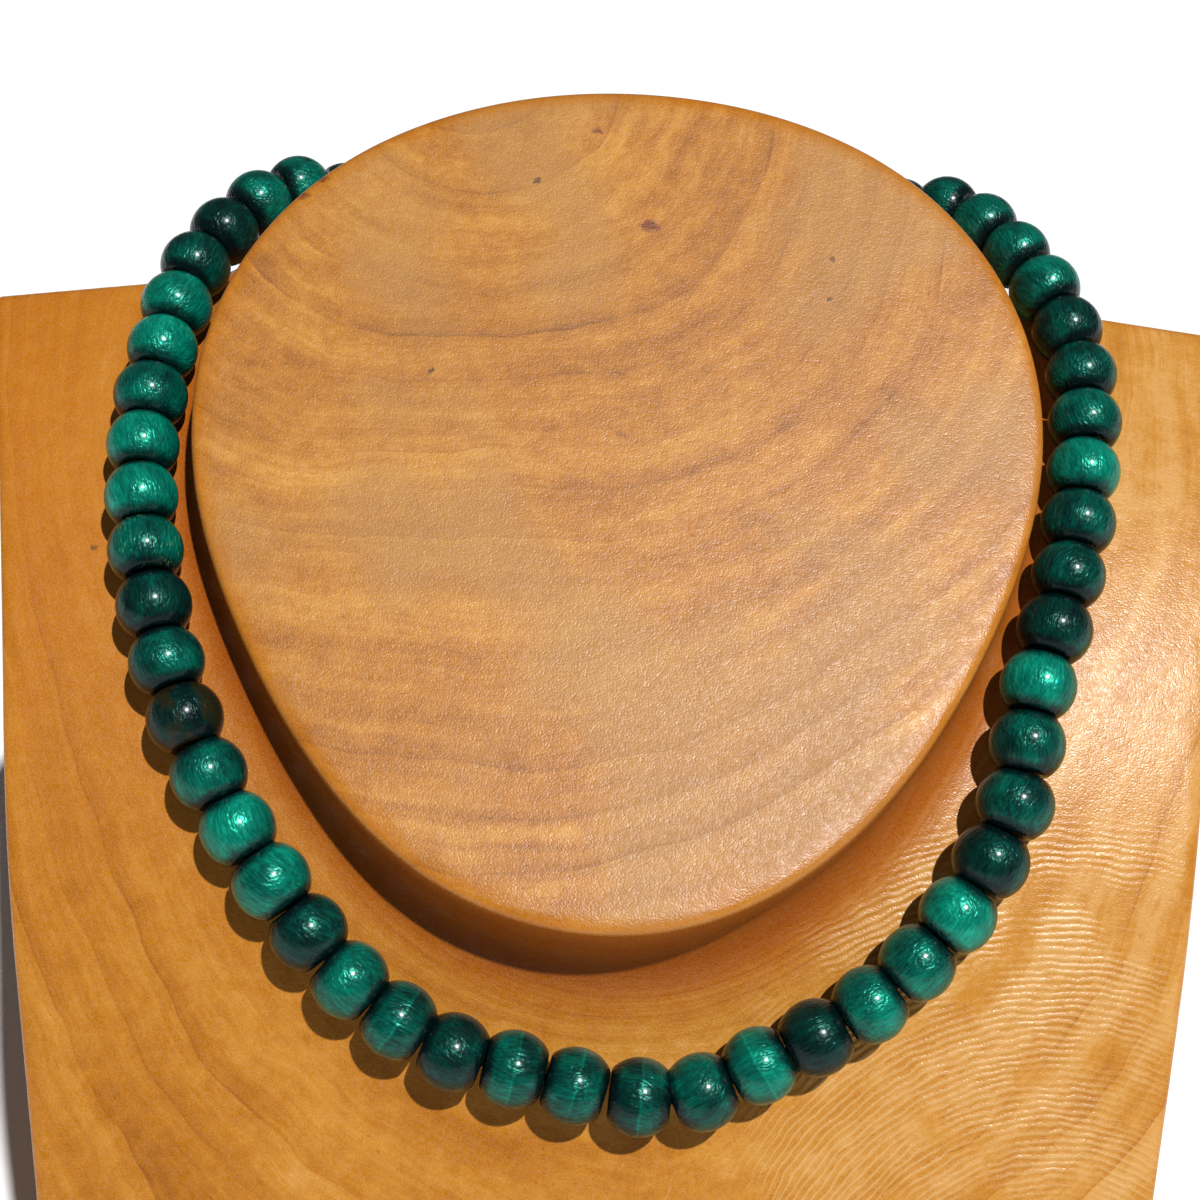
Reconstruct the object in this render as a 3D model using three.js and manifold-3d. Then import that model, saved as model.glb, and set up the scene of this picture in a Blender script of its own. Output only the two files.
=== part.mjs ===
// A beaded necklace on a carved wooden neck bust. Millimetres, +Z up, base at z = 0.
// The bust faces -Y. Its chest leans back, and the necklace lies round the neck on the chest.

import * as THREE from 'three';
import { mergeVertices } from 'three/addons/utils/BufferGeometryUtils.js';
import Module from 'manifold-3d';

const wasm = await Module();
wasm.setup();

const degree = Math.PI / 180;

// Board frame: x to the right, s up along the chest, n out of the chest. Its zero lies in the strand.
const chestLean = 35 * degree;          // from upright
const boardZeroHeight = 137.5;          // of the board frame's zero above the table

// Chest board
const frontLevel = -2.2;                // n of the flat lower chest on the centre line
const bendStart = -50;                  // s above which the chest curves back
const bendRadius = 135;
const crossRadius = 1250;               // the chest is slightly crowned from side to side
const boardMiddle = 1;                  // x of the board's centre line
const halfWidthAtWaist = 79.3;
const waist = -16;                      // s of that half width
const sideTaper = 0.115;                // the sides run in towards the base by this much
const shoulderFlare = 0.0012;           // and out again above the waist, by this times the square
const boardBottom = -185;               // s, past the base
const boardTop = 72;                    // s, past the shoulder ridge
const boardRows = 26;
const boardColumns = 18;
const boardDepth = 190;                 // how far the rough board reaches back before it is sawn

// Shoulder ridge and back, sawn flat
const ridgeAtCentre = 52.5;             // s of the ridge on the centre line
const ridgeFall = 0.125;                // the ridge falls outwards by this much
const ridgeSkew = 0.012;                // and a little more to the right than to the left
const rearSlope = Math.tan(35 * degree);
const baseRear = 48;                    // y of the base's rear edge
const backRun = 0.4;                    // the back leans out by this much for each unit of height

// Neck stub: an egg in a plane whose normal is the neck's axis
const neckTilt = 20 * degree;           // of the axis, up from the chest's normal
const neckCentre = { x: 1.8, s: 15.2, n: -7.9 };
const eggRadius = 58.0;
const eggRise = 3.2;                    // towards the top
const eggSquash = 2.1;
const eggPoint = 2.65;                  // narrows the lower end
const neckSides = 64;
const rimEase = 1.2;                    // worn edge round the flat cut
const coveFront = 7;                    // radius of the cove at the foot, in front
const coveSide = 4.5;
const coveBack = 18;
const coveStartBack = 34;               // height of straight wall behind the neck
const backSplay = 0.46;                 // the wall behind widens by this much for each unit down
const napeRear = 68.5;                  // y of the flat that the nape is sawn to
const footSink = 4;                     // how far the neck's foot is carried into the board
const deepestFoot = 95;                 // the board is met above this depth at every angle
const coveSteps = 5;

// Strand
const beadRadius = 5;
const beadHalfLength = 3.75;
const threadRadius = 0.8;
const beadSides = 12;
const beadsEachSide = 27;
const seatGap = 0.35;                   // between a bead and the wood
const claspSpace = 14.4;                // left at the nape for the clasp
const claspRadius = 2.6;
const halfMeetGap = 0.15;               // on each side of the place where the two halves meet

// Where the strand runs. It lies on the chest, so there only x and s are given.
const leftChestRoute = [
  // x, s
  [2.3, -62.0],
  [-9.5, -59.3],
  [-18.0, -57.0],
  [-29.5, -49.5],
  [-39.8, -37.8],
  [-48.5, -25.0],
  [-55.0, -11.7],
  [-59.8, 3.7],
  [-62.2, 17.7],
  [-61.7, 33.0],
];
const napeRoute = [
  // x, s, n
  [-58.8, 47.3, -32.5],
  [-52.8, 56.2, -39.8],
  [-48.4, 60.2, -44.4],
  [-42.2, 61.2, -49.4],
  [-34.5, 59.2, -52.4],
  [-24.0, 57.9, -52.2],
  [0.0, 58.3, -51.0],
  [25.0, 57.9, -52.2],
  [37.0, 59.2, -52.6],
  [45.6, 60.6, -50.0],
  [52.0, 59.4, -44.8],
  [56.6, 55.0, -39.2],
];
const rightChestRoute = [
  // x, s
  [62.5, 46.0],
  [66.0, 34.0],
  [64.8, 18.0],
  [61.3, 3.1],
  [56.6, -11.0],
  [53.3, -25.6],
  [46.0, -39.0],
  [35.3, -50.2],
  [21.8, -58.0],
  [12.0, -62.3],
];

// A point of the board frame in the part's own frame.
function onBoard(x, s, n) {
  const y = s * Math.sin(chestLean) - n * Math.cos(chestLean);
  const z = s * Math.cos(chestLean) + n * Math.sin(chestLean) + boardZeroHeight;
  return new THREE.Vector3(x, y, z);
}

// The chest's surface: level below the bend, then an arc's parabola, crowned across.
function chestFace(x, s) {
  const above = Math.max(0, s - bendStart);
  return frontLevel - above ** 2 / (2 * bendRadius) - x ** 2 / (2 * crossRadius);
}

function boardHalfWidth(s) {
  const above = Math.max(0, s - waist);
  return halfWidthAtWaist + sideTaper * (s - waist) + shoulderFlare * above ** 2;
}

// The ridge of the shoulders, where the chest meets the sawn slope behind it.
function ridgePoint(x) {
  const s = ridgeAtCentre - ridgeFall * Math.abs(x) - ridgeSkew * x;
  return onBoard(x, s, chestFace(x, s));
}

// A closed body through rings of equal count, with a flat fan over the first and the last.
function loft(rings) {
  const count = rings[0].length;
  const positions = rings.flat().flatMap((p) => [p.x, p.y, p.z]);
  const index = [];
  for (let ring = 0; ring < rings.length - 1; ring += 1) {
    for (let i = 0; i < count; i += 1) {
      const a = ring * count + i;
      const b = ring * count + ((i + 1) % count);
      index.push(a, b, b + count, a, b + count, a + count);
    }
  }
  for (const [ring, isFirst] of [[0, true], [rings.length - 1, false]]) {
    const middle = new THREE.Vector3();
    rings[ring].forEach((p) => middle.addScaledVector(p, 1 / count));
    const centre = positions.length / 3;
    positions.push(middle.x, middle.y, middle.z);
    for (let i = 0; i < count; i += 1) {
      const a = ring * count + i;
      const b = ring * count + ((i + 1) % count);
      index.push(...(isFirst ? [centre, b, a] : [centre, a, b]));
    }
  }
  const geometry = new THREE.BufferGeometry();
  geometry.setAttribute('position', new THREE.Float32BufferAttribute(positions, 3));
  geometry.setIndex(index);
  return geometry;
}

function toSolid(geometry) {
  const bare = geometry.clone();
  bare.deleteAttribute('normal');
  bare.deleteAttribute('uv');
  const merged = mergeVertices(bare, 1e-4);
  return new wasm.Manifold(new wasm.Mesh({
    numProp: 3,
    vertProperties: new Float32Array(merged.attributes.position.array),
    triVerts: new Uint32Array(merged.index.array),
  }));
}

function toGeometry(solid) {
  const mesh = solid.getMesh();
  const geometry = new THREE.BufferGeometry();
  geometry.setAttribute('position', new THREE.BufferAttribute(mesh.vertProperties, 3));
  geometry.setIndex(new THREE.BufferAttribute(mesh.triVerts, 1));
  geometry.computeVertexNormals();
  return geometry;
}

// The rough board: one section for each row, crowned in front and flat behind.
function roughBoard() {
  const rings = [];
  for (let row = 0; row < boardRows; row += 1) {
    const s = THREE.MathUtils.lerp(boardBottom, boardTop, row / (boardRows - 1));
    const half = boardHalfWidth(s);
    const front = [];
    for (let column = 0; column <= boardColumns; column += 1) {
      const x = boardMiddle + THREE.MathUtils.lerp(-half, half, column / boardColumns);
      front.push(onBoard(x, s, chestFace(x, s)));
    }
    const rear = [half, -half].map((side) => onBoard(boardMiddle + side, s, -boardDepth));
    rings.push([...front, ...rear]);
  }
  return toSolid(loft(rings));
}

// Everything in front of the sawn back, above the base and below the rear slope.
// The last corners are clear of the wood: above it and in front of it.
function sawnBlock() {
  const far = 150;
  const high = 260;
  const rings = [-far, 0, far].map((x) => {
    const ridge = ridgePoint(x);
    const backTop = (ridge.z + rearSlope * (ridge.y - baseRear)) / (1 + rearSlope * backRun);
    const outline = [
      [-far, 0],
      [baseRear, 0],
      [baseRear + backRun * backTop, backTop],
      [ridge.y, ridge.z],
      [ridge.y - 1, high],
      [-far, high],
    ];
    return outline.map(([y, z]) => new THREE.Vector3(x, y, z));
  });
  return toSolid(loft(rings));
}

const neckAxis = onBoard(0, Math.sin(neckTilt), Math.cos(neckTilt)).sub(onBoard(0, 0, 0));
const neckUp = onBoard(0, Math.cos(neckTilt), -Math.sin(neckTilt)).sub(onBoard(0, 0, 0));

function eggOutline(angle) {
  return eggRadius + eggRise * Math.sin(angle) - eggSquash * Math.cos(2 * angle)
    + eggPoint * Math.sin(3 * angle);
}

// A point of the neck at an angle round its axis, out from the egg and down from the flat cut.
function neckPoint(angle, out, down) {
  const radius = eggOutline(angle) + out;
  return onBoard(neckCentre.x, neckCentre.s, neckCentre.n)
    .addScaledVector(new THREE.Vector3(1, 0, 0), radius * Math.cos(angle))
    .addScaledVector(neckUp, radius * Math.sin(angle))
    .addScaledVector(neckAxis, -down);
}

// How far a point stands above the board: negative once it is inside the wood.
function heightOverBoard(point) {
  const y = point.y;
  const z = point.z - boardZeroHeight;
  const s = y * Math.sin(chestLean) + z * Math.cos(chestLean);
  const n = -y * Math.cos(chestLean) + z * Math.sin(chestLean);
  const ridge = ridgePoint(point.x);
  const overSlope = point.z - ridge.z + rearSlope * (y - ridge.y);
  return Math.max(n - chestFace(point.x, s), overSlope);
}

// How far down from the flat cut the board is met, by halving.
function depthToBoard(angle, outAt) {
  let low = 0;
  let high = deepestFoot;
  for (let step = 0; step < 30; step += 1) {
    const middle = (low + high) / 2;
    if (heightOverBoard(neckPoint(angle, outAt(middle), middle)) > 0) {
      low = middle;
    } else {
      high = middle;
    }
  }
  return high;
}

// The neck's outline at one angle, from the flat cut down: eased rim, wall, cove, sunken foot.
function neckSection(angle) {
  const front = Math.max(0, -Math.sin(angle));
  const back = THREE.MathUtils.smoothstep(Math.sin(angle), 0.25, 0.95);
  const cove = coveSide + (coveFront - coveSide) * front + (coveBack - coveSide) * back;
  const wallOut = (down) => backSplay * back * down;
  const corner = Math.min(depthToBoard(angle, wallOut), coveStartBack + 2 * coveBack);
  const start = Math.min(corner - cove, coveStartBack);
  const endOut = wallOut(corner) + cove;
  const end = Math.min(depthToBoard(angle, () => endOut), coveStartBack + 3 * coveBack);
  const easeMiddle = rimEase * (1 - Math.SQRT1_2);
  const section = [[-rimEase, 0], [-easeMiddle, easeMiddle], [0, rimEase]];
  section.push([wallOut((rimEase + start) / 2), (rimEase + start) / 2]);
  for (let step = 0; step <= coveSteps; step += 1) {
    const t = step / coveSteps;
    const [a, b, c] = [(1 - t) ** 2, 2 * t * (1 - t), t ** 2];
    const out = a * wallOut(start) + b * wallOut(corner) + c * endOut;
    section.push([out, a * start + b * corner + c * end]);
  }
  section.push([endOut, end + footSink]);
  return section;
}

function neckStub() {
  const sections = [];
  for (let i = 0; i < neckSides; i += 1) {
    const angle = (2 * Math.PI * i) / neckSides;
    sections.push(neckSection(angle).map(([out, down]) => neckPoint(angle, out, down)));
  }
  const rings = sections[0].map((_, level) => sections.map((section) => section[level]));
  return toSolid(loft(rings.reverse())).trimByPlane([0, -1, 0], -napeRear);
}

function neckBust() {
  return toGeometry(roughBoard().intersect(sawnBlock()).add(neckStub()));
}

// The strand's closed route. It starts at the middle of the front and runs up the left side.
function strandRoute() {
  const seat = beadRadius + seatGap;
  const lying = ([x, s]) => {
    const slope = Math.hypot(Math.max(0, s - bendStart) / bendRadius, x / crossRadius);
    return onBoard(x, s, chestFace(x, s) + seat * Math.hypot(1, slope));
  };
  const points = [
    ...leftChestRoute.map(lying),
    ...napeRoute.map((row) => onBoard(...row)),
    ...rightChestRoute.map(lying),
  ];
  const route = new THREE.CatmullRomCurve3(points, true, 'centripetal');
  route.arcLengthDivisions = 2000;
  return route;
}

// Rings round the route at a distance along it, square to the bead that they belong to.
function beadRings(centre, axis, size) {
  const outward = onBoard(0, 0, 1).sub(onBoard(0, 0, 0));
  const side = outward.clone().addScaledVector(axis, -outward.dot(axis)).normalize();
  const other = axis.clone().cross(side);
  const profile = [
    // along, radius
    [-1.0, threadRadius],
    [-0.82, 0.76 * beadRadius],
    [-0.34, 0.975 * beadRadius],
    [0.34, 0.975 * beadRadius],
    [0.82, 0.76 * beadRadius],
    [1.0, threadRadius],
  ];
  return profile.map(([along, radius]) => {
    const ring = [];
    for (let i = 0; i < beadSides; i += 1) {
      const turn = (2 * Math.PI * i) / beadSides;
      ring.push(centre.clone()
        .addScaledVector(axis, along * beadHalfLength)
        .addScaledVector(side, radius * size * Math.cos(turn))
        .addScaledVector(other, radius * size * Math.sin(turn)));
    }
    return ring;
  });
}

// Half of the strand: beads on their thread as one body, from the front to the clasp.
function beadString(route, direction) {
  const length = route.getLength();
  const pitch = (length - claspSpace) / (2 * beadsEachSide);
  const at = (distance) => (direction > 0 ? distance : length - distance) / length;
  const rings = [];
  for (let bead = 0; bead < beadsEachSide; bead += 1) {
    const u = at((bead + 0.5) * pitch + halfMeetGap);
    const axis = route.getTangentAt(u).multiplyScalar(direction);
    const size = 1 - 0.02 * (1 + Math.sin(7.3 * bead + direction));
    rings.push(...beadRings(route.getPointAt(u), axis, size));
  }
  return loft(rings);
}

// The closure: a plain barrel with rounded ends, along the route at the nape.
function barrelClasp(route) {
  const half = claspSpace / 2 - seatGap;
  const profile = [
    new THREE.Vector2(0, -half),
    new THREE.Vector2(0.55 * claspRadius, -half),
    new THREE.Vector2(claspRadius, -0.7 * half),
    new THREE.Vector2(claspRadius, 0.7 * half),
    new THREE.Vector2(0.55 * claspRadius, half),
    new THREE.Vector2(0, half),
  ];
  const geometry = new THREE.LatheGeometry(profile, beadSides);
  const length = route.getLength();
  const pitch = (length - claspSpace) / (2 * beadsEachSide);
  const u = (beadsEachSide * pitch + claspSpace / 2) / length;
  const along = new THREE.Quaternion().setFromUnitVectors(
    new THREE.Vector3(0, 1, 0),
    route.getTangentAt(u),
  );
  geometry.applyQuaternion(along);
  return { geometry, position: route.getPointAt(u) };
}

const beadWood = new THREE.MeshStandardMaterial({ color: 0x0b6b50, roughness: 0.3, metalness: 0 });
const bustWood = new THREE.MeshStandardMaterial({ color: 0xb8762f, roughness: 0.6, metalness: 0 });
const claspBrass = new THREE.MeshStandardMaterial({ color: 0xb08d4a, roughness: 0.35, metalness: 1 });

const group = new THREE.Group();

function addPiece(name, geometry, material) {
  const mesh = new THREE.Mesh(geometry, material);
  mesh.name = name;
  group.add(mesh);
  return mesh;
}

const bust = addPiece('neck_bust', neckBust(), bustWood);
const route = strandRoute();
addPiece('bead_string_left', beadString(route, 1), beadWood);
addPiece('bead_string_right', beadString(route, -1), beadWood);
const clasp = barrelClasp(route);
addPiece('barrel_clasp', clasp.geometry, claspBrass).position.copy(clasp.position);

// The origin is under the middle of the bust's box.
bust.geometry.computeBoundingBox();
const middle = bust.geometry.boundingBox.getCenter(new THREE.Vector3());
group.position.set(-middle.x, -middle.y, 0);

export default group;
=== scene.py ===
import math

import bpy
import numpy as np
from mathutils import Matrix, Vector


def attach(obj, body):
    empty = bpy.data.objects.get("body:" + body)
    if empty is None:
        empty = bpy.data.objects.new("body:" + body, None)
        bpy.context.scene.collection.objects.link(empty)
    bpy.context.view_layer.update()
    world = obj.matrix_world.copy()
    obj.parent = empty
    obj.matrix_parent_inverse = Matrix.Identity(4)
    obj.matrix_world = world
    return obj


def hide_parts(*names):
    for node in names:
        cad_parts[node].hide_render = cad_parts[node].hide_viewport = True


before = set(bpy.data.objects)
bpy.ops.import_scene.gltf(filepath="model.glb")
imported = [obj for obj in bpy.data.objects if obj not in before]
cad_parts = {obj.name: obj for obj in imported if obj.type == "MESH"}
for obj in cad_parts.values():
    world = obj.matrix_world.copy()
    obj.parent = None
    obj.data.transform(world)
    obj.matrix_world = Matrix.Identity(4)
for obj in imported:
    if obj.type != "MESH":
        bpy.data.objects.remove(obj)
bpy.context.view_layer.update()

mm = 0.001
midOfBust = np.array([0.7078, 3.4491, 0.0])      # the part stands centred on its bust

# Board frame: x to the right, s up along the chest, n out of it, in millimetres.
# The strand's route and every pattern on the bust are laid out in it.
boardFrame = {
    "chestLean": math.radians(35),               # from upright
    "zeroHeight": 137.5,                         # of its zero above the table
}


# A turn about x by the chest's lean, then a lift by the zero's height.
def boardToPart(place):
    lean = boardFrame["chestLean"]
    x, s, n = place[..., 0], place[..., 1], place[..., 2]
    y = s * math.sin(lean) - n * math.cos(lean)
    z = s * math.cos(lean) + n * math.sin(lean) + boardFrame["zeroHeight"]
    return np.stack([x, y, z], axis=-1)


# 0 below low, 1 above high, and 3t^2 - 2t^3 between them.
def smoothStep(low, high, value):
    t = np.clip((value - low) / (high - low), 0, 1)
    return t * t * (3 - 2 * t)


def unit(vectors):
    return vectors / np.linalg.norm(vectors, axis=-1, keepdims=True)


# Quads between neighbouring rings of a grid that closes on itself along each ring.
def gridFaces(rings, sides):
    ring = np.arange(rings - 1)[:, None] * sides
    here = np.arange(sides)[None, :]
    after = (here + 1) % sides
    corners = [ring + here, ring + after, ring + sides + after, ring + sides + here]
    return np.stack(corners, axis=-1).reshape(-1, 4)


# A fan of triangles between a pole and a ring of points.
def capFaces(pole, ring, isLast):
    after = np.roll(ring, -1)
    centre = np.full_like(ring, pole)
    order = [centre, ring, after] if isLast else [centre, after, ring]
    return np.stack(order, axis=-1)


# Rings of points in the board frame, shut by a pole at each end, with their values per point.
def closedSurface(name, ringPlaces, marks):
    rings, sides = ringPlaces.shape[:2]
    poles = [ringPlaces[0].mean(axis=0), ringPlaces[-1].mean(axis=0)]
    places = np.vstack([ringPlaces.reshape(-1, 3), poles])
    count = rings * sides
    firstCap = capFaces(count, np.arange(sides), False)
    lastCap = capFaces(count + 1, np.arange(sides) + count - sides, True)
    faces = gridFaces(rings, sides).tolist() + firstCap.tolist() + lastCap.tolist()
    mesh = bpy.data.meshes.new(name)
    mesh.from_pydata(((boardToPart(places) - midOfBust) * mm).tolist(), [], faces)
    for label, values in marks(places).items():
        isVector = values.ndim == 2
        layer = mesh.attributes.new(label, "FLOAT_VECTOR" if isVector else "FLOAT", "POINT")
        layer.data.foreach_set("vector" if isVector else "value", values.astype(np.float32).ravel())
    mesh.polygons.foreach_set("use_smooth", np.ones(len(mesh.polygons), bool))
    mesh.update()
    piece = bpy.data.objects.new(name, mesh)
    bpy.context.scene.collection.objects.link(piece)
    return piece


# A new material. Each call adds a node and gives its output, and sockets link to sockets.
class Finish:
    def __init__(self, name):
        self.material = bpy.data.materials.new(name)
        self.material.use_nodes = True
        self.tree = self.material.node_tree
        self.shader = self.tree.nodes["Principled BSDF"]

    def feed(self, node, inputs):
        for key, value in dict(inputs).items():
            if isinstance(value, bpy.types.NodeSocket):
                self.tree.links.new(value, node.inputs[key])
            else:
                node.inputs[key].default_value = value

    def node(self, kind, inputs=(), output=0, **settings):
        made = self.tree.nodes.new("ShaderNode" + kind)
        for key, value in settings.items():
            setattr(made, key, value)
        self.feed(made, inputs)
        return made.outputs[output]

    def mark(self, label, output="Fac"):
        return self.node("Attribute", output=output, attribute_name=label)

    def sums(self, operation, *values, clamp=False):
        return self.node("Math", enumerate(values), operation=operation, use_clamp=clamp)

    def product(self, first, second):
        return self.sums("MULTIPLY", first, second)

    def swing(self, value):
        return self.sums("SUBTRACT", value, 0.5)

    def rest(self, value):
        return self.sums("SUBTRACT", 1.0, value)

    def vector(self, operation, *values, output=0):
        return self.node("VectorMath", enumerate(values), output, operation=operation)

    def stretch(self, place, shares, shift=(0.0, 0.0, 0.0)):
        return self.vector("MULTIPLY_ADD", place, shares, shift)

    def noise(self, place, scale, detail=2.0, rough=0.5, output=0):
        inputs = {"Vector": place, "Scale": scale, "Detail": detail, "Roughness": rough}
        return self.node("TexNoise", inputs, output)

    def span(self, value, low, high, toLow=0.0, toHigh=1.0, soft=True):
        inputs = {"Value": value, "From Min": low, "From Max": high, "To Min": toLow, "To Max": toHigh}
        return self.node("MapRange", inputs, interpolation_type="SMOOTHSTEP" if soft else "LINEAR")

    def blend(self, share, first, second, kind="MIX"):
        first = first if isinstance(first, bpy.types.NodeSocket) else (*first, 1)
        second = second if isinstance(second, bpy.types.NodeSocket) else (*second, 1)
        return self.node("Mix", {0: share, 6: first, 7: second}, 2, data_type="RGBA", blend_type=kind)

    def ramp(self, value, stops):
        made = self.tree.nodes.new("ShaderNodeValToRGB")
        band = made.color_ramp
        while len(band.elements) < len(stops):
            band.elements.new(0.5)
        for element, (place, colour) in zip(band.elements, stops):
            element.position = place
            element.color = (*colour, 1)
        self.feed(made, {0: value})
        return made.outputs[0]

    # Adds value times weight for each pair, from a start.
    def total(self, start, *parts):
        for value, weight in parts:
            start = self.sums("MULTIPLY_ADD", value, weight, start)
        return start

    def finish(self, height, **sockets):
        normal = self.node("Bump", {"Height": height, "Distance": mm, "Strength": 1.0})
        named = {key.replace("_", " "): value for key, value in sockets.items()}
        self.feed(self.shader, {"Normal": normal, **named})
        return self.material


# Carved neck bust
bust = {
    "frontLevel": -2.2,
    "bendStart": -50,                            # s above which the chest curves back
    "bendRadius": 135,
    "crossRadius": 1250,
    "middle": 1,
    "halfWidthAtWaist": 79.75,
    "waist": -16,
    "sideTaper": 0.115,
    "shoulderFlare": 0.0012,
    "ridgeAtCentre": 52.5,
    "ridgeFall": 0.125,
    "ridgeSkew": 0.012,
    "rearSlope": math.tan(math.radians(35)),
    "baseRear": 48.1,
    "backRun": 0.4,
    "neckTilt": math.radians(20),
    "neckCentre": np.array([1.8, 15.2, -7.9]),
    "eggRadius": 57.85,
    "eggRise": 3.2,
    "eggSquash": 2.1,
    "eggPoint": 2.65,
    "coveFront": 7,
    "coveSide": 4.5,
    "coveBack": 15,
    "coveShare": 0.88,                           # of those, for a cove that is truly round
    "backSplay": 0.46,
    "napeRear": 68.5,                            # y of the flat that the nape is sawn to
    "napeRound": 1.5,
    "rimRound": 1.3,                             # how far each edge is worn round
    "edgeRound": 1.0,
    "ridgeRound": 0.9,
    "cutRound": 0.8,
    "turns": 700,                                # of the surface's grid
    "steps": 138,
    "castFrom": 55.0,                            # depth of the point that it is cast from
    "bendWeight": 9.0,                           # how much closer the steps lie where it bends
}


# Level below the bend, then a parabola, crowned from side to side.
def chestFace(x, s):
    above = np.maximum(0, s - bust["bendStart"])
    fall = above ** 2 / (2 * bust["bendRadius"])
    return bust["frontLevel"] - fall - x ** 2 / (2 * bust["crossRadius"])


# A straight taper, and a parabola outwards above the waist.
def boardHalfWidth(s):
    above = np.maximum(0, s - bust["waist"])
    straight = bust["halfWidthAtWaist"] + bust["sideTaper"] * (s - bust["waist"])
    return straight + bust["shoulderFlare"] * above ** 2


# z plus the rear slope's fall times y, on the shoulder ridge at x.
def ridgeLevel(x):
    s = bust["ridgeAtCentre"] - bust["ridgeFall"] * abs(x) - bust["ridgeSkew"] * x
    place = boardToPart(np.array([x, s, float(chestFace(x, s))]))
    return place[2] + bust["rearSlope"] * place[1]


# A round with its first three waves: a little higher, wider than high, and narrower below.
def eggOutline(angle):
    wave = bust["eggRise"] * np.sin(angle) - bust["eggSquash"] * np.cos(2 * angle)
    return bust["eggRadius"] + wave + bust["eggPoint"] * np.sin(3 * angle)


# The larger of two depths, with the edge between them rounded.
def roundMeet(a, b, radius):
    corner = np.hypot(np.maximum(0, radius + a), np.maximum(0, radius + b))
    return np.minimum(-radius, np.maximum(a, b)) + corner


# The smaller of two depths, with the hollow between them rounded.
def roundJoin(a, b, radius):
    corner = np.hypot(np.maximum(0, radius - a), np.maximum(0, radius - b))
    return np.maximum(radius, np.minimum(a, b)) - corner


# The neck's own measures of a place: angle round its axis, distance from it, depth below the flat cut.
def neckMeasures(place):
    tilt = bust["neckTilt"]
    off = place - bust["neckCentre"]
    up = off[..., 1] * math.cos(tilt) - off[..., 2] * math.sin(tilt)
    down = -(off[..., 1] * math.sin(tilt) + off[..., 2] * math.cos(tilt))
    return np.arctan2(up, off[..., 0]), np.hypot(up, off[..., 0]), down


# A sum of slow sine waves in seeded directions: what a rasp and scraper leave.
def handWork(place, seed, size, depth):
    random = np.random.default_rng(seed)
    total = 0
    for wave in range(6):
        direction = unit(random.normal(size=3)) * (2 * math.pi / size) * random.uniform(0.6, 1.5)
        total = total + np.sin(place @ direction + random.uniform(0, 6.28))
    return total * depth / 6


# Depths of a place outside each surface that bounds the wood, and the cove's radius there.
def bustDepths(place):
    x, s, n = place[..., 0], place[..., 1], place[..., 2]
    part = boardToPart(place)
    y, z = part[..., 1], part[..., 2]
    angle, radius, down = neckMeasures(place)
    bend = np.maximum(0, s - bust["bendStart"]) / bust["bendRadius"]
    run = bust["rearSlope"]
    levels = [ridgeLevel(x) for x in (-150.0, 0.0, 150.0)]
    fall = np.where(x > 0, levels[2] - levels[1], levels[0] - levels[1]) * np.abs(x) / 150
    towardsBack = smoothStep(0.25, 0.95, np.sin(angle))
    towardsFront = np.maximum(0, -np.sin(angle))
    cove = bust["coveSide"] + (bust["coveFront"] - bust["coveSide"]) * towardsFront
    cove = cove + (bust["coveBack"] - bust["coveSide"]) * towardsBack
    splay = bust["backSplay"] * towardsBack * np.maximum(0, down)
    splayed = np.hypot(1, bust["backSplay"] * towardsBack)
    return {
        "front": (n - chestFace(x, s)) / np.hypot(1, bend) + handWork(place, 3, 60, 0.16),
        "rear": (z + run * y - levels[1] - fall) / math.hypot(1, run),
        "wall": (radius - eggOutline(angle) - splay) / splayed + handWork(place, 5, 34, 0.1),
        "cut": -down,
        "sides": np.abs(x - bust["middle"]) - boardHalfWidth(s) + handWork(place, 7, 50, 0.18),
        "back": (y - bust["baseRear"] - bust["backRun"] * z) / math.hypot(1, bust["backRun"]),
        "nape": y - bust["napeRear"],
        "base": -z,
        "cove": cove * bust["coveShare"],
    }


# How far a place is outside the bust: the neck joined to the board, and the sawn faces round both.
def bustDepth(place):
    depth = bustDepths(place)
    board = roundMeet(depth["front"], depth["rear"], bust["ridgeRound"])
    neck = roundJoin(depth["wall"], board, depth["cove"])
    neck = roundMeet(neck, depth["nape"], bust["napeRound"])
    wood = roundMeet(np.minimum(board, neck), depth["cut"], bust["rimRound"])
    wood = roundMeet(wood, depth["sides"], bust["edgeRound"])
    wood = roundMeet(wood, depth["back"], bust["cutRound"])
    return roundMeet(wood, depth["base"], bust["cutRound"])


# Rays from a point in the wood, by turn round the neck's axis and lean from it, to where the wood ends.
def castSurface(turn, lean):
    tilt = bust["neckTilt"]
    axis = np.array([0, math.sin(tilt), math.cos(tilt)])
    upward = np.array([0, math.cos(tilt), -math.sin(tilt)])
    middle = bust["neckCentre"] - axis * bust["castFrom"]
    side = np.cos(turn)[..., None] * np.array([1.0, 0, 0]) + np.sin(turn)[..., None] * upward
    ray = np.cos(lean)[..., None] * axis + np.sin(lean)[..., None] * side
    low, high = np.zeros(turn.shape), np.full(turn.shape, 240.0)
    for halving in range(21):
        half = (low + high) / 2
        inside = bustDepth(middle + ray * half[..., None]) < 0
        low, high = np.where(inside, half, low), np.where(inside, high, half)
    return middle + ray * ((low + high) / 2)[..., None]


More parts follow.
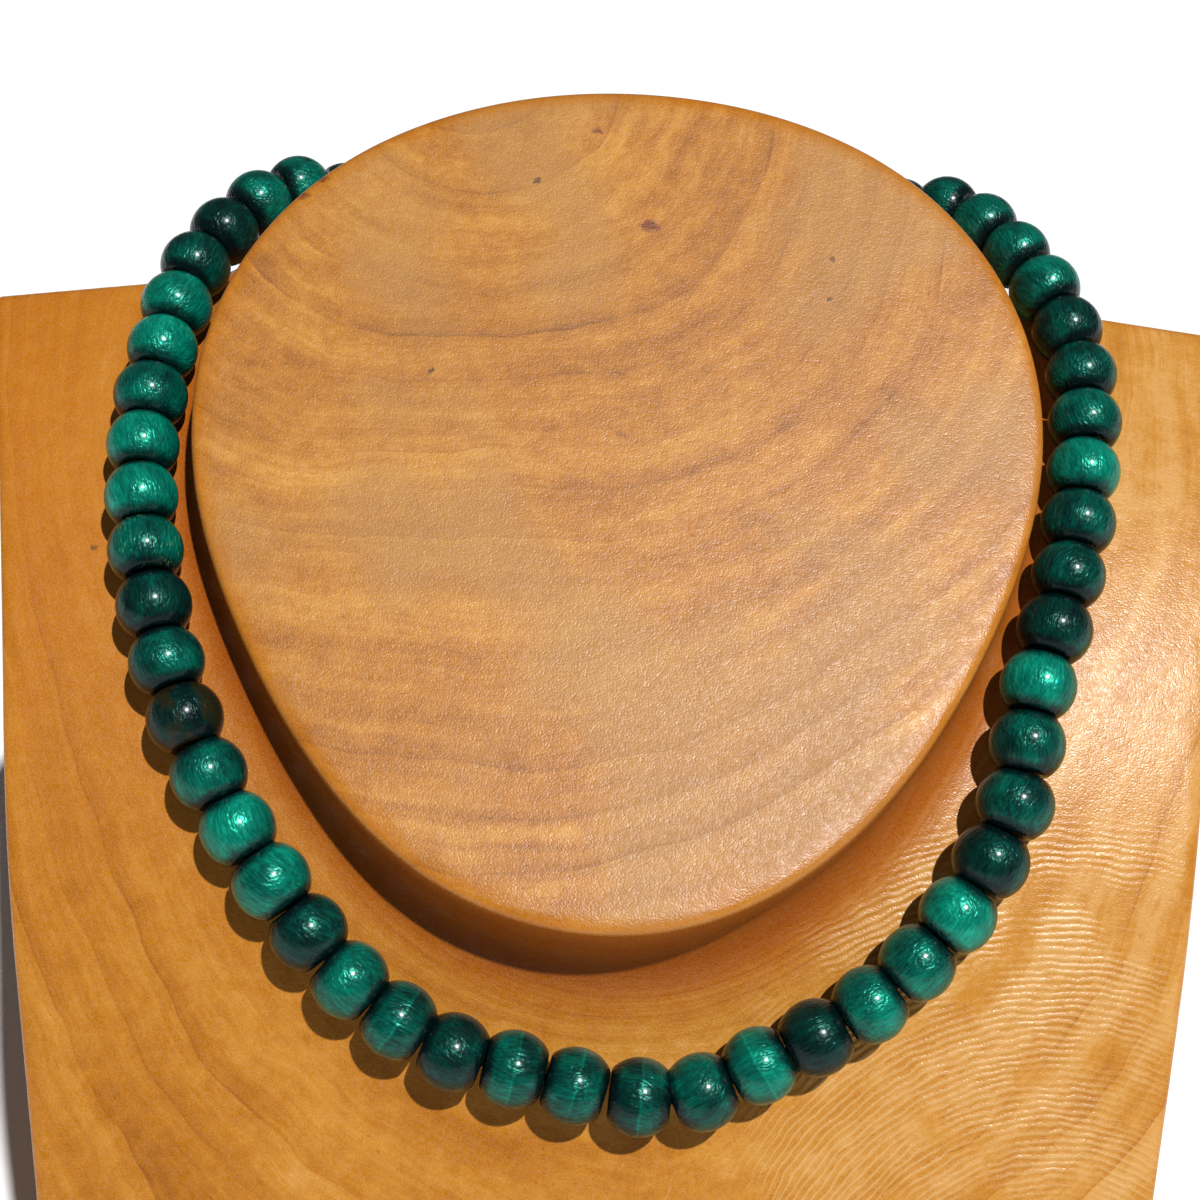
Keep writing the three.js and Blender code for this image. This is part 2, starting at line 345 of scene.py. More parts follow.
# Each profile, from the middle of the flat cut to the middle of the back, is cast in even leans,
# then walked again in steps that shorten where it bends.
def bustRings():
    turns, coarse = bust["turns"], 4
    turn = np.linspace(0, 2 * math.pi, turns, endpoint=False)
    lean = np.linspace(0.004, math.pi - 0.004, 620)
    first = castSurface(*np.meshgrid(turn[::coarse], lean, indexing="ij"))
    leg = np.diff(first, axis=1)
    way = unit(leg)
    bend = np.arccos(np.clip((way[:, 1:] * way[:, :-1]).sum(-1), -1, 1))
    pace = np.linalg.norm(leg, axis=-1)
    pace[:, 1:] += bust["bendWeight"] * bend
    walked = np.cumsum(np.pad(pace, ((0, 0), (1, 0))), axis=1)
    wanted = np.linspace(0, 1, bust["steps"])
    rows = np.array([np.interp(wanted, row / row[-1], lean) for row in walked])
    place = np.arange(turns) / coarse
    share = (place % 1)[:, None]
    rows = rows[place.astype(int)] * (1 - share) + np.roll(rows, -1, axis=0)[place.astype(int)] * share
    grid = castSurface(np.broadcast_to(turn[:, None], rows.shape), rows)
    return np.swapaxes(grid, 0, 1)[:, ::-1]          # each ring the other way, so the faces point outwards


wood = {
    "ringGap": 7.4,                              # mm between growth rings
    "wander": 9.0,                               # how far the rings stray, in mm
    "wayRadius": 70.0,
    "faceHeart": (-20.0, 78.0, 0.0),             # middle of the rings on the flat cut
    "faceShares": (1.0, 1.0, 0.15),
    "chestHeart": (5.0, 100.0, 0.0),
    "chestShares": (1.0, 0.5, 0.55),
    "tones": (
        (0.00, (0.170, 0.054, 0.004)),
        (0.30, (0.300, 0.106, 0.010)),
        (0.55, (0.395, 0.152, 0.017)),
        (0.80, (0.490, 0.222, 0.034)),
        (1.00, (0.570, 0.305, 0.085)),
    ),
    "greyTan": (0.360, 0.174, 0.046),
    "orange": (0.430, 0.134, 0.010),
    "wallShade": (0.300, 0.062, 0.005),
    "scratch": (0.620, 0.390, 0.160),
    "redBrown": (0.130, 0.026, 0.010),
    "speck": (0.050, 0.020, 0.010),
    "arcHeart": (60.4, -95.7, 0.0),              # middle of the scraper's arcs on the lower chest
    "arcGap": 0.95,
    "arcSheen": 0.42,                             # how pale the arcs and scratches are
    "scratchTone": 0.3,
    "middleTone": 0.60,
    "shares": {                                  # how much each pattern moves the tone
        "cloud": 0.55, "shade": -0.26, "line": -0.16, "paintedSheen": 0.3,
        "fibre": 0.42, "bands": 0.75, "mottle": 0.65, "pore": -0.3,
    },
    "relief": {"grit": 0.04, "sand": 0.04, "arc": 0.04},    # mm
    "roughness": 0.34,
    "gloss": 0.34,
}


# Growth rings round a heart: the distance from it, and the way round it with the height.
def ringField(places, heart, shares):
    off = (places - np.array(heart)) * np.array(shares)
    distance = np.hypot(off[:, 0], off[:, 1])
    way = off[:, :2] / distance[:, None] * wood["wayRadius"]
    distance = np.hypot(distance, off[:, 2])
    return np.column_stack([distance, way[:, 0] + 0.5 * places[:, 2], way[:, 1] - 0.5 * places[:, 2]])


def bustMarks(places):
    angle, radius, down = neckMeasures(places)
    offNeck = radius - eggOutline(angle)
    bent = places + np.stack([handWork(places, seed, 90, wood["wander"]) for seed in (31, 32, 33)], axis=-1)
    nearCut = smoothStep(44.0, 26.0, down)
    share = (smoothStep(13.0, -1.0, offNeck) * nearCut)[:, None]
    faceField = ringField(bent, wood["faceHeart"], wood["faceShares"])
    field = ringField(bent, wood["chestHeart"], wood["chestShares"])
    field = field + (faceField - field) * share
    depths = bustDepths(places)
    nearest = np.sort(np.abs([depths[k] for k in ("front", "rear", "cut", "sides", "back", "base")]), axis=0)
    onCut = smoothStep(1.6, 0.2, down)
    rim = np.exp(-(offNeck / 1.6) ** 2 - (down / 2.2) ** 2)
    return {
        "boardPlace": places,
        "onCut": onCut,
        "onWall": smoothStep(0.3, 1.6, down) * smoothStep(9.0, 2.0, offNeck) * nearCut,
        "ringPlace": field,
        "roundedEdge": np.maximum(rim, np.exp(-(nearest[1] / 0.9) ** 2) * (1 - onCut)),
    }


carvedBust = closedSurface("carved_neck_bust", bustRings(), bustMarks)
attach(carvedBust, "root")
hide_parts("neck_bust")
print("bust carved")

woodMarks = (
    # x, s, n, radius across, radius along, depth of colour, finish
    (5.7, 51.8, -21.2, 1.5, 0.85, 0.85, "redBrown"),
    (-40.0, 57.9, -23.4, 1.1, 0.7, 0.8, "redBrown"),
    (-42.5, 55.2, -22.5, 0.9, 0.6, 0.7, "redBrown"),
    (-1.9, 66.0, -26.4, 0.8, 0.55, 0.75, "redBrown"),
    (-10.2, 58.3, -23.6, 0.55, 0.5, 0.7, "speck"),
    (30.8, 47.8, -19.8, 0.5, 0.45, 0.7, "speck"),
    (30.4, 41.6, -17.5, 0.45, 0.4, 0.7, "speck"),
    (-23.5, 30.3, -13.4, 0.4, 0.4, 0.8, "speck"),
    (2.4, 22.0, -10.4, 0.8, 0.6, 0.45, "redBrown"),
    (-68.7, 5.6, -15.5, 0.6, 0.5, 0.6, "speck"),
    (51.3, -33.8, -4.2, 0.45, 0.45, 0.6, "speck"),
)


def carvedWood():
    f = Finish("carved_bust_wood")
    place = f.mark("boardPlace", "Vector")
    onCut = f.mark("onCut")
    x = f.node("SeparateXYZ", {0: place})
    s = f.node("SeparateXYZ", {0: place}, 1)

    # the growth rings tremble a little
    quick = f.vector("SUBTRACT", f.noise(place, 0.09, 1.0, output=1), (0.5, 0.5, 0.5))
    field = f.stretch(quick, (2.6,) * 3, f.mark("ringPlace", "Vector"))
    distance = f.node("SeparateXYZ", {0: field})

    # each ring darkens outwards to a fine line, some more than others
    uneven = f.node("TexNoise", {"W": distance, "Scale": 0.06, "Detail": 1.0}, noise_dimensions="1D")
    ringCount = f.sums("DIVIDE", distance, wood["ringGap"])
    ringCount = f.sums("MULTIPLY_ADD", uneven, 2.4, ringCount)
    inRing = f.sums("FRACT", ringCount)
    ringNumber = f.sums("FLOOR", ringCount)
    strength = f.node("TexWhiteNoise", {"W": ringNumber}, noise_dimensions="1D")
    fade = f.span(f.noise(place, 0.05, 1.0), 0.35, 0.65, 0.35, 1.0)
    strength = f.product(strength, fade)
    shade = f.product(f.sums("POWER", inRing, 1.8), strength)
    line = f.product(f.span(inRing, 0.9, 0.975), f.span(inRing, 1.0, 0.985))
    line = f.product(line, strength)

    # fibres and pores run round the rings
    fibre = f.noise(f.stretch(field, (1.9, 0.2, 0.2)), 1.0, 3.0, 0.62)
    bands = f.noise(f.stretch(field, (0.36, 0.02, 0.02)), 1.0, 2.0, 0.5)
    poreCell = f.node("TexVoronoi", {"Vector": f.stretch(field, (1.7, 0.55, 0.55)), "Scale": 1.0}, 0)
    pore = f.span(poreCell, 0.2, 0.06)
    pore = f.product(pore, f.span(f.noise(field, 0.25, 1.0), 0.42, 0.62))
    cloud = f.noise(place, 0.035, 2.0, 0.55)
    mottle = f.noise(place, 0.3, 3.0, 0.72)

    # painted sheen: the chest off the cut is made paler towards the right, where the glare lies
    paintedSheen = f.product(f.span(x, -30.0, 75.0), f.rest(onCut))
    shares = wood["shares"]
    tone = f.total(wood["middleTone"], (f.swing(cloud), shares["cloud"]), (shade, shares["shade"]),
                   (line, shares["line"]), (paintedSheen, shares["paintedSheen"]), (f.swing(fibre), shares["fibre"]),
                   (f.swing(bands), shares["bands"]), (f.swing(mottle), shares["mottle"]),
                   (pore, shares["pore"]))
    colour = f.ramp(tone, wood["tones"])
    greyness = f.product(f.span(f.noise(place, 0.045, 1.0, 0.5), 0.42, 0.64, 0.0, 0.6), onCut)
    colour = f.blend(greyness, colour, wood["greyTan"])
    wall = f.rest(f.mark("onWall"))
    # painted shade: the upper left of the chest is turned a darker orange, where it misses the sheen; the
    # chest also gets an even orange tint of its own
    upperLeftShade = f.product(f.span(x, 20.0, -70.0), f.span(s, -70.0, 20.0))
    offCut = f.rest(onCut)
    orangeAndShade = f.product(f.total(0.18, (upperLeftShade, 0.45)), offCut)
    # painted shade: the rounded edges and the rim of the cut are turned a darker orange
    orangeAndShade = f.sums("MAXIMUM", orangeAndShade, f.product(f.mark("roundedEdge"), 0.6))
    colour = f.blend(orangeAndShade, colour, wood["orange"])
    # painted shade: the neck's wall, which stands in shade, is turned a dark red-brown
    colour = f.blend(f.product(f.mark("onWall"), 0.8), colour, wood["wallShade"])

    # knots, specks and curls
    wobble = f.vector("SUBTRACT", f.noise(place, 0.9, 0.0, output=1), (0.5, 0.5, 0.5))
    nearPlace = f.stretch(wobble, (1.1,) * 3, place)
    for markX, markS, markN, across, along, depth, kind in woodMarks:
        off = f.vector("SUBTRACT", nearPlace, (markX, markS, markN))
        size = f.vector("LENGTH", f.vector("DIVIDE", off, (across, along, 1.5)), output=1)
        colour = f.blend(f.span(size, 1.3, 0.5, 0.0, depth), colour, wood[kind])

    # the scraper's arcs low on the right, and fine scratches in wider arcs round the same place; the arcs'
    # pale bands are painted sheen on real tool ridges
    off = f.vector("MULTIPLY", f.vector("SUBTRACT", place, wood["arcHeart"]), (1.0, 1.0, 0.0))
    reach = f.vector("LENGTH", off, output=1)
    reach = f.total(reach, (f.noise(place, 0.25, 1.0), 1.3))
    arc = f.sums("SINE", f.product(reach, 2 * math.pi / wood["arcGap"]))
    around = f.sums("ARCTAN2", f.node("SeparateXYZ", {0: off}), f.node("SeparateXYZ", {0: off}, 1))
    track = f.node("CombineXYZ", {0: f.product(reach, 2.4), 1: f.product(around, 9.0)})
    scratch = f.noise(track, 1.0, 2.0, 0.7)
    scratched = f.span(scratch, 0.6, 0.72)
    scratched = f.product(scratched, f.span(x, -40.0, 30.0, 0.2, 1.0))
    scratched = f.product(scratched, f.product(offCut, wall))
    inArcs = f.product(f.span(x, 12.0, 30.0), f.span(x, 84.0, 66.0))
    inArcs = f.product(inArcs, f.product(f.span(reach, 14.0, 26.0), f.span(reach, 74.0, 58.0)))
    patchy = f.span(f.noise(place, 0.12, 0.0), 0.3, 0.55)
    inArcs = f.product(inArcs, f.product(offCut, patchy))
    arc = f.product(arc, inArcs)
    # painted sheen: the arcs' ridges are made paler, as if catching the light
    pale = f.span(arc, 0.1, 1.0, 0.0, wood["arcSheen"])
    pale = f.sums("MAXIMUM", pale, f.product(scratched, wood["scratchTone"]))
    colour = f.blend(pale, colour, wood["scratch"])

    # fine ridges that glitter
    grit = f.noise(place, 4.2, 0.0)
    sand = f.noise(place, 1.1, 1.0, 0.65)
    # painted glitter: the colour is lightened and darkened a little in the grit's fine specks, on the
    # pattern of the ridges that glitter
    glitterSpeck = f.span(grit, 0.3, 0.7, -0.12, 0.12, soft=False)
    colour = f.node("BrightContrast", {0: colour, 1: f.product(glitterSpeck, 0.12)})
    relief = wood["relief"]
    height = f.total(0.0, (grit, relief["grit"]), (sand, relief["sand"]), (arc, relief["arc"]))
    roughness = f.total(wood["roughness"], (f.swing(sand), 0.3), (pore, 0.15), (shade, 0.06),
                        (onCut, 0.07), (f.mark("roundedEdge"), -0.1))
    f.shader.inputs["Specular IOR Level"].default_value = wood["gloss"]
    return f.finish(height, Base_Color=colour, Roughness=roughness)


carvedBust.data.materials.append(carvedWood())


# Bead strings
strand = {
    "beadRadius": 5.03,
    "beadHalfLength": 3.93,
    "cornerRound": 1.1,                          # where the round meets the flat end
    "bore": 0.75,
    "thread": 0.55,
    "sides": 40,
    "beadsEachSide": 27,
    "seatRadius": 5.0,
    "seatGap": 0.35,
    "claspSpace": 14.4,
    "halfMeetGap": 0.15,
    "lean": 0.03,                                # spread of how crooked a bead sits
    "leanLimit": 0.06,
    "sizeSpread": 0.035,                         # how much smaller or flatter a bead may be
    "squatSpread": 0.02,
    "outOfRound": 0.006,
    "grainTurn": 0.35,                           # how far the grain leans from the bore
    "toneSpread": 0.14,
    "darkTone": (-0.42, -0.3),
    "brightTone": (0.22, 0.36),
    "darkLeft": (2, 5, 9, 11, 19),               # bead numbers from the front
    "darkRight": (3, 7, 11, 17),
    "brightLeft": (6, 7, 13, 14, 16, 17),
    "brightRight": (2, 6, 10, 14),
    "seamLeft": (0, 1, 3),                       # beads with a line round them
    "seamRight": (0, 2),
    "stainLeft": (9,),                           # beads with a brown patch
    "stainRight": (),
    "fleckLeft": (12,),                          # beads with bare wood showing in a streak
    "fleckRight": (),
}
leftChestRoute = np.array([
    # x, s
    [2.3, -62.0], [-9.5, -59.3], [-18.0, -57.0], [-29.5, -49.5], [-39.8, -37.8],
    [-48.5, -25.0], [-55.0, -11.7], [-59.8, 3.7], [-62.2, 17.7], [-61.7, 33.0],
])
napeRoute = np.array([
    # x, s, n
    [-58.8, 47.3, -32.5], [-52.8, 56.2, -39.8], [-48.4, 60.2, -44.4], [-42.2, 61.2, -49.4],
    [-34.5, 59.2, -52.4], [-24.0, 57.9, -52.2], [0.0, 58.3, -51.0], [25.0, 57.9, -52.2],
    [37.0, 59.2, -52.6], [45.6, 60.6, -50.0], [52.0, 59.4, -44.8], [56.6, 55.0, -39.2],
])
rightChestRoute = np.array([
    # x, s
    [62.5, 46.0], [66.0, 34.0], [64.8, 18.0], [61.3, 3.1], [56.6, -11.0],
    [53.3, -25.6], [46.0, -39.0], [35.3, -50.2], [21.8, -58.0], [12.0, -62.3],
])


# Lifts the rows off the chest by a bead's radius and a hair, along the slope there.
def lyingOnChest(rows):
    x, s = rows[:, 0], rows[:, 1]
    slope = np.hypot(np.maximum(0, s - bust["bendStart"]) / bust["bendRadius"], x / bust["crossRadius"])
    lift = (strand["seatRadius"] + strand["seatGap"]) * np.hypot(1, slope)
    return np.column_stack([x, s, chestFace(x, s) + lift])


# A closed curve of cubics through the rows, where each gap's time is the square root of its length.
def strandCurve(rows, fineness=400):
    before, here, after, later = (np.roll(rows, shift, axis=0) for shift in (1, 0, -1, -2))
    pairs = ((before, here), (here, after), (after, later))
    gaps = [np.linalg.norm(b - a, axis=1, keepdims=True) ** 0.5 for a, b in pairs]
    leave = (here - before) / gaps[0] - (after - before) / (gaps[0] + gaps[1]) + (after - here) / gaps[1]
    arrive = (after - here) / gaps[1] - (later - here) / (gaps[1] + gaps[2]) + (later - after) / gaps[2]
    leave, arrive = (leave * gaps[1])[:, None], (arrive * gaps[1])[:, None]
    here, after = here[:, None], after[:, None]
    square = 3 * (after - here) - 2 * leave - arrive
    cube = 2 * (here - after) + leave + arrive
    t = np.linspace(0, 1, fineness, endpoint=False)[None, :, None]
    points = (here + t * (leave + t * (square + t * cube))).reshape(-1, 3)
    return np.vstack([points, points[:1]])


route = strandCurve(np.vstack([lyingOnChest(leftChestRoute), napeRoute, lyingOnChest(rightChestRoute)]))
routeAt = np.concatenate([[0], np.cumsum(np.linalg.norm(np.diff(route, axis=0), axis=1))])
beadPitch = (routeAt[-1] - strand["claspSpace"]) / (2 * strand["beadsEachSide"])


def alongRoute(distance):
    return np.stack([np.interp(distance, routeAt, route[:, axis]) for axis in range(3)], axis=-1)


# Middle, axis, side and other side of each piece on the route. The side points out of the chest.
def routeFrames(distance, direction):
    axis = unit(alongRoute(distance + 0.5) - alongRoute(distance - 0.5)) * direction
    outward = np.array([0, 0, 1.0])
    side = unit(outward - axis * (axis @ outward)[:, None])
    return alongRoute(distance), axis, side, np.cross(axis, side)


# From bore to bore: a flat end, a small arc, the sphere's arc, and the same mirrored. The small arc's
# middle lies where it touches both the sphere and the flat end.
def beadProfile():
    whole, half, corner = strand["beadRadius"], strand["beadHalfLength"], strand["cornerRound"]
    out = math.sqrt((whole - corner) ** 2 - (half - corner) ** 2)
    meet = math.atan2(half - corner, out)
    ball = np.linspace(0, meet, 8)
    rim = np.linspace(meet, math.pi / 2, 6)[1:]
    length = np.concatenate([whole * np.sin(ball), half - corner + corner * np.sin(rim), [half - 0.12]])
    girth = np.concatenate([whole * np.cos(ball), out + corner * np.cos(rim), [strand["bore"]]])
    length = np.concatenate([-length[:0:-1], length])
    girth = np.concatenate([girth[:0:-1], girth])
    length = np.concatenate([[-0.8 * half], length, [0.8 * half]])
    return length, np.concatenate([[strand["thread"]], girth, [strand["thread"]]])


# A bead's profile carried along the route, once for each bead, with the thread between them.
def beadString(name, direction, seed, dark, bright, seamed, stained, flecked):
    random = np.random.default_rng(seed)
    length, girth = beadProfile()
    count, rings, sides = strand["beadsEachSide"], len(length), strand["sides"]
    number = np.arange(count)
    distance = (number + 0.5) * beadPitch + strand["halfMeetGap"]
    distance = distance if direction > 0 else routeAt[-1] - distance
    centre, axis, side, other = routeFrames(distance, direction)

    lean = random.normal(0, strand["lean"], (count, 2))
    lean = lean.clip(-strand["leanLimit"], strand["leanLimit"])
    axis = unit(axis + side * lean[:, :1] + other * lean[:, 1:])
    side = unit(side - axis * (side * axis).sum(1, keepdims=True))
    other = np.cross(axis, side)

    size = 1 - random.uniform(0, strand["sizeSpread"], count)
    squat = 1 - random.uniform(0, strand["squatSpread"], count)
    phase = random.uniform(0, 2 * math.pi, (count, 1, 1))
    turn = np.linspace(0, 2 * math.pi, sides, endpoint=False)
    radius = (girth * size[:, None])[..., None] * (1 + strand["outOfRound"] * np.sin(2 * turn + phase))
    run = (length * squat[:, None])[..., None] * np.ones(sides)
    local = np.stack([run, radius * np.cos(turn), radius * np.sin(turn)], axis=-1)
    axes = np.stack([axis, side, other], axis=1)
    places = centre[:, None, None] + np.einsum("brsk,bkj->brsj", local, axes)

    # one value for each bead, at all its points
    def allOver(values):
        return np.broadcast_to(values[:, None, None], radius.shape).reshape(-1)

    def marks(_):
        grainTurn = np.linalg.qr(random.normal(size=(count, 3, 3)))[0]
        grainTurn = grainTurn * strand["grainTurn"] + np.eye(3)
        offset = random.uniform(-400, 400, (count, 1, 1, 3))
        grain = np.einsum("brsk,bkj->brsj", local, grainTurn) + offset
        tone = random.uniform(-strand["toneSpread"], strand["toneSpread"], count)
        tone[list(dark)] = random.uniform(*strand["darkTone"], len(dark))
        tone[list(bright)] = random.uniform(*strand["brightTone"], len(bright))
        share = np.broadcast_to(np.abs(length)[None, :, None] / strand["beadHalfLength"], radius.shape)
        thread = np.zeros(radius.shape)
        thread[:, [0, -1]] = 1
        made = {
            "beadGrain": grain.reshape(-1, 3),
            "beadPlace": local.reshape(-1, 3),
            "beadTone": allOver(tone),
            "beadSeam": allOver(np.isin(number, seamed) * 1.0),
            "beadStain": allOver(np.isin(number, stained) * 1.0),
            "beadFleck": allOver(np.isin(number, flecked) * 1.0),
            "beadEnd": share.reshape(-1),
            "thread": thread.reshape(-1),
        }
        return {label: np.concatenate([values, values[:1], values[-1:]]) for label, values in made.items()}

    return closedSurface(name, places.reshape(count * rings, sides, 3), marks)


lacquer = {
    "tones": (
        (0.00, (0.0004, 0.0080, 0.0080)),
        (0.28, (0.0004, 0.0330, 0.0260)),
        (0.52, (0.0004, 0.0950, 0.0660)),
        (0.78, (0.0006, 0.2050, 0.1350)),
        (1.00, (0.0060, 0.3600, 0.2400)),
    ),
    "thread": (0.012, 0.020, 0.016),
    "stain": (0.022, 0.016, 0.004),
    "fleck": (0.300, 0.420, 0.070),
    "middleTone": 0.46,
    "shares": {                                  # how much each pattern moves the tone
        "bead": 0.7, "cloud": 0.9, "streak": 0.7, "fine": 0.35,
        "seam": 0.17, "pastSeam": -0.1, "ends": -0.55,
    },
    "wrinkle": 0.2,                              # mm
    "ripple": 0.08,
    "roughness": 0.34,
    "metallic": 0.3,
    "underGloss": 0.1,
    "coat": 0.36,
    "coatRoughness": 0.17,
    "coatIor": 1.42,
}


def greenLacquer():
    f = Finish("lacquered_bead_wood")
    grain = f.mark("beadGrain", "Vector")
    local = f.mark("beadPlace", "Vector")
    alongBead = f.node("SeparateXYZ", {0: local})
    cloud = f.noise(grain, 0.22, 2.0, 0.5)
    streak = f.noise(f.stretch(grain, (0.5, 2.6, 2.6)), 1.0, 2.0, 0.65)
    fine = f.noise(f.stretch(grain, (1.6, 7.0, 7.0)), 1.0, 1.0, 0.6)
    seam = f.mark("beadSeam")
    wander = f.total(alongBead, (f.swing(f.noise(grain, 0.5, 1.0)), 0.5))
    seamLine = f.product(f.span(f.sums("ABSOLUTE", wander), 0.3, 0.02), seam)
    seamHalf = f.product(f.span(wander, 0.05, -0.05), seam)
    # painted shade: each bead darkens towards its ends, where it meets its neighbours
    ends = f.span(f.mark("beadEnd"), 0.6, 1.0)
    shares = lacquer["shares"]
    tone = f.total(lacquer["middleTone"], (f.mark("beadTone"), shares["bead"]),
                   (f.swing(cloud), shares["cloud"]), (f.swing(streak), shares["streak"]),
                   (f.swing(fine), shares["fine"]), (seamLine, shares["seam"]),
                   (seamHalf, shares["pastSeam"]), (ends, shares["ends"]))
    colour = f.ramp(tone, lacquer["tones"])
    stain = f.product(f.span(cloud, 0.42, 0.56, 0.0, 0.85), f.mark("beadStain"))
    colour = f.blend(stain, colour, lacquer["stain"])
    fleck = f.product(f.span(streak, 0.58, 0.75, 0.0, 0.7), f.span(cloud, 0.5, 0.62))
    fleck = f.product(fleck, f.mark("beadFleck"))
    colour = f.blend(fleck, colour, lacquer["fleck"])
    colour = f.blend(f.mark("thread"), colour, lacquer["thread"])
    wrinkle = f.noise(grain, 1.5, 1.0, 0.7)
    ripple = f.noise(f.stretch(grain, (0.7, 2.4, 2.4)), 1.0, 1.0, 0.5)
    height = f.total(0.0, (wrinkle, lacquer["wrinkle"]), (ripple, lacquer["ripple"]))
    roughness = f.total(lacquer["roughness"], (f.swing(wrinkle), 0.2), (f.mark("thread"), 0.4))
    f.shader.inputs["Metallic"].default_value = lacquer["metallic"]
    f.shader.inputs["Specular IOR Level"].default_value = lacquer["underGloss"]
    f.shader.inputs["Coat Weight"].default_value = lacquer["coat"]
    f.shader.inputs["Coat Roughness"].default_value = lacquer["coatRoughness"]
    f.shader.inputs["Coat IOR"].default_value = lacquer["coatIor"]
    return f.finish(height, Base_Color=colour, Roughness=roughness)


beadFinish = greenLacquer()
for name, node, direction, seed, side in (("lacquered_beads_left", "bead_string_left", 1, 11, "Left"),
                                          ("lacquered_beads_right", "bead_string_right", -1, 23, "Right")):
    kinds = [strand[kind + side] for kind in ("dark", "bright", "seam", "stain", "fleck")]
    string = beadString(name, direction, seed, *kinds)
    string.data.materials.append(beadFinish)
    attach(string, "root")
    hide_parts(node)
print("beads strung")


# Clasp
clasp = {
    "radius": 2.6,
    "half": 6.85,
    "sides": 64,
    "brass": (0.70, 0.48, 0.20),
    "tarnish": (0.36, 0.20, 0.07),
}


# A turned profile carried round the strand's line at the nape.
def barrelClasp():
    profile = np.array([
        # along, radius, as shares of the half length and radius
        [-1.0, 0.30], [-0.985, 0.44], [-0.95, 0.52], [-0.89, 0.55], [-0.83, 0.56], [-0.80, 0.62],
        [-0.77, 0.76], [-0.72, 0.88], [-0.65, 0.96], [-0.56, 1.0], [-0.40, 1.0], [-0.20, 1.0],
        [-0.15, 0.98], [-0.125, 0.92], [-0.10, 0.875], [-0.06, 0.875], [-0.035, 0.92], [-0.01, 0.98],
        [0.04, 1.0], [0.20, 1.0], [0.40, 1.0], [0.56, 1.0], [0.65, 0.96], [0.72, 0.88], [0.77, 0.76],
        [0.80, 0.62], [0.83, 0.56], [0.89, 0.55], [0.95, 0.52], [0.985, 0.44], [1.0, 0.30],
    ])
    distance = np.array([strand["beadsEachSide"] * beadPitch + strand["claspSpace"] / 2])
    centre, axis, side, other = (a[0] for a in routeFrames(distance, 1))
    turn = np.linspace(0, 2 * math.pi, clasp["sides"], endpoint=False)[None, :, None]
    ring = side * np.cos(turn) + other * np.sin(turn)
    places = centre + axis * profile[:, None, :1] * clasp["half"]
    places = places + ring * profile[:, None, 1:] * clasp["radius"]

    def marks(found):
        off = found - centre
        return {"barrelPlace": np.stack([off @ axis, off @ side, off @ other], axis=-1)}

    return closedSurface("brass_barrel_clasp", places, marks)


def turnedBrass():
    f = Finish("clasp_brass")
    place = f.mark("barrelPlace", "Vector")
    lathe = f.noise(f.stretch(place, (9.0, 0.15, 0.15)), 1.0, 3.0, 0.6)
    cloud = f.noise(place, 0.55, 3.0, 0.55)
    grime = f.span(f.total(cloud, (lathe, 0.25)), 0.55, 0.8)
    colour = f.blend(grime, clasp["brass"], clasp["tarnish"])
    roughness = f.total(0.24, (grime, 0.25), (lathe, 0.1))
    height = f.total(0.0, (lathe, 0.02), (cloud, 0.03))
    f.shader.inputs["Metallic"].default_value = 1.0
    return f.finish(height, Base_Color=colour, Roughness=roughness)


barrel = barrelClasp()
barrel.data.materials.append(turnedBrass())
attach(barrel, "root")
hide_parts("barrel_clasp")
print("clasp turned")


# Floor, light and camera
stage = {
    "floorHalf": 4.0,                            # metres
    "floorColour": (0.86, 0.86, 0.86, 1),
    "cameraDistance": 255.0,                     # mm from the board frame's zero, along n
    "lens": 60.0,
    "sensor": 36.0,
    "roll": math.radians(1.3),
    "sunFrom": (0.25, -0.41, 0.875),
    "sunStrength": 4.35,
    "sunWidth": math.radians(1.4),
    "skyStrength": 0.08,
}


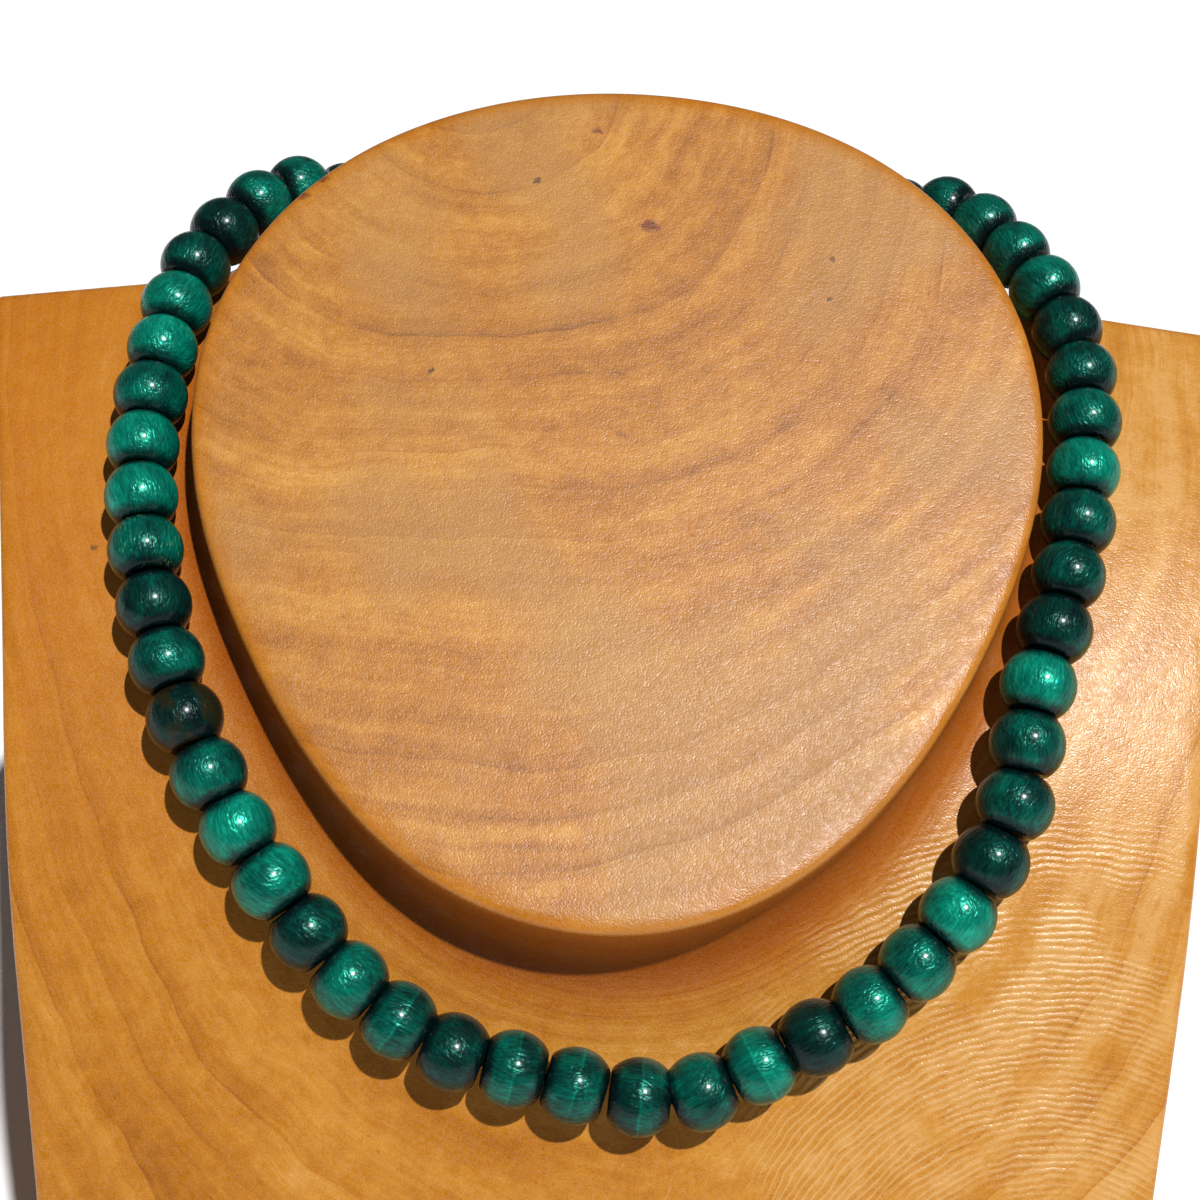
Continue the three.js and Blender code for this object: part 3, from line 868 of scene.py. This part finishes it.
def makeFloor():
    half = stage["floorHalf"]
    mesh = bpy.data.meshes.new("pale_floor")
    corners = [(-half, -half, 0), (half, -half, 0), (half, half, 0), (-half, half, 0)]
    mesh.from_pydata(corners, [], [(0, 1, 2, 3)])
    floor = bpy.data.objects.new("pale_floor", mesh)
    bpy.context.scene.collection.objects.link(floor)
    f = Finish("pale_floor")
    f.shader.inputs["Base Color"].default_value = stage["floorColour"]
    f.shader.inputs["Roughness"].default_value = 0.9
    floor.data.materials.append(f.material)
    return floor


# Looks along -n at the board frame's zero, rolled a little about its own line of sight.
def makeCamera():
    zero = boardToPart(np.zeros(3))
    right, upChest, out = (boardToPart(row) - zero for row in np.eye(3))
    roll = stage["roll"]
    cameraRight = right * math.cos(roll) + upChest * math.sin(roll)
    cameraUp = upChest * math.cos(roll) - right * math.sin(roll)
    place = (zero + out * stage["cameraDistance"] - midOfBust) * mm
    data = bpy.data.cameras.new("camera")
    data.lens = stage["lens"]
    data.sensor_width = stage["sensor"]
    data.clip_start = 0.01
    camera = bpy.data.objects.new("camera", data)
    turn = Matrix([Vector(row) for row in (cameraRight, cameraUp, out)]).transposed().to_4x4()
    camera.matrix_world = Matrix.Translation(Vector(place)) @ turn
    bpy.context.scene.collection.objects.link(camera)
    bpy.context.scene.camera = camera


def makeLight():
    sun = bpy.data.lights.new("sun", "SUN")
    sun.energy = stage["sunStrength"]
    sun.angle = stage["sunWidth"]
    lamp = bpy.data.objects.new("sun", sun)
    lamp.rotation_mode = "QUATERNION"
    lamp.rotation_quaternion = Vector(stage["sunFrom"]).to_track_quat("Z", "Y")
    bpy.context.scene.collection.objects.link(lamp)
    world = bpy.data.worlds.new("studio")
    world.use_nodes = True
    tree = world.node_tree
    sky = tree.nodes["Background"]
    sky.inputs["Color"].default_value = (1, 1, 1, 1)
    rays = tree.nodes.new("ShaderNodeLightPath")     # the backdrop is white to look at, but lights less
    strength = tree.nodes.new("ShaderNodeMath")
    strength.operation = "MAXIMUM"
    strength.inputs[1].default_value = stage["skyStrength"]
    tree.links.new(rays.outputs["Is Camera Ray"], strength.inputs[0])
    tree.links.new(strength.outputs[0], sky.inputs["Strength"])
    bpy.context.scene.world = world


makeFloor()
makeCamera()
makeLight()
bpy.context.scene.view_settings.view_transform = "Standard"
print("stage set")
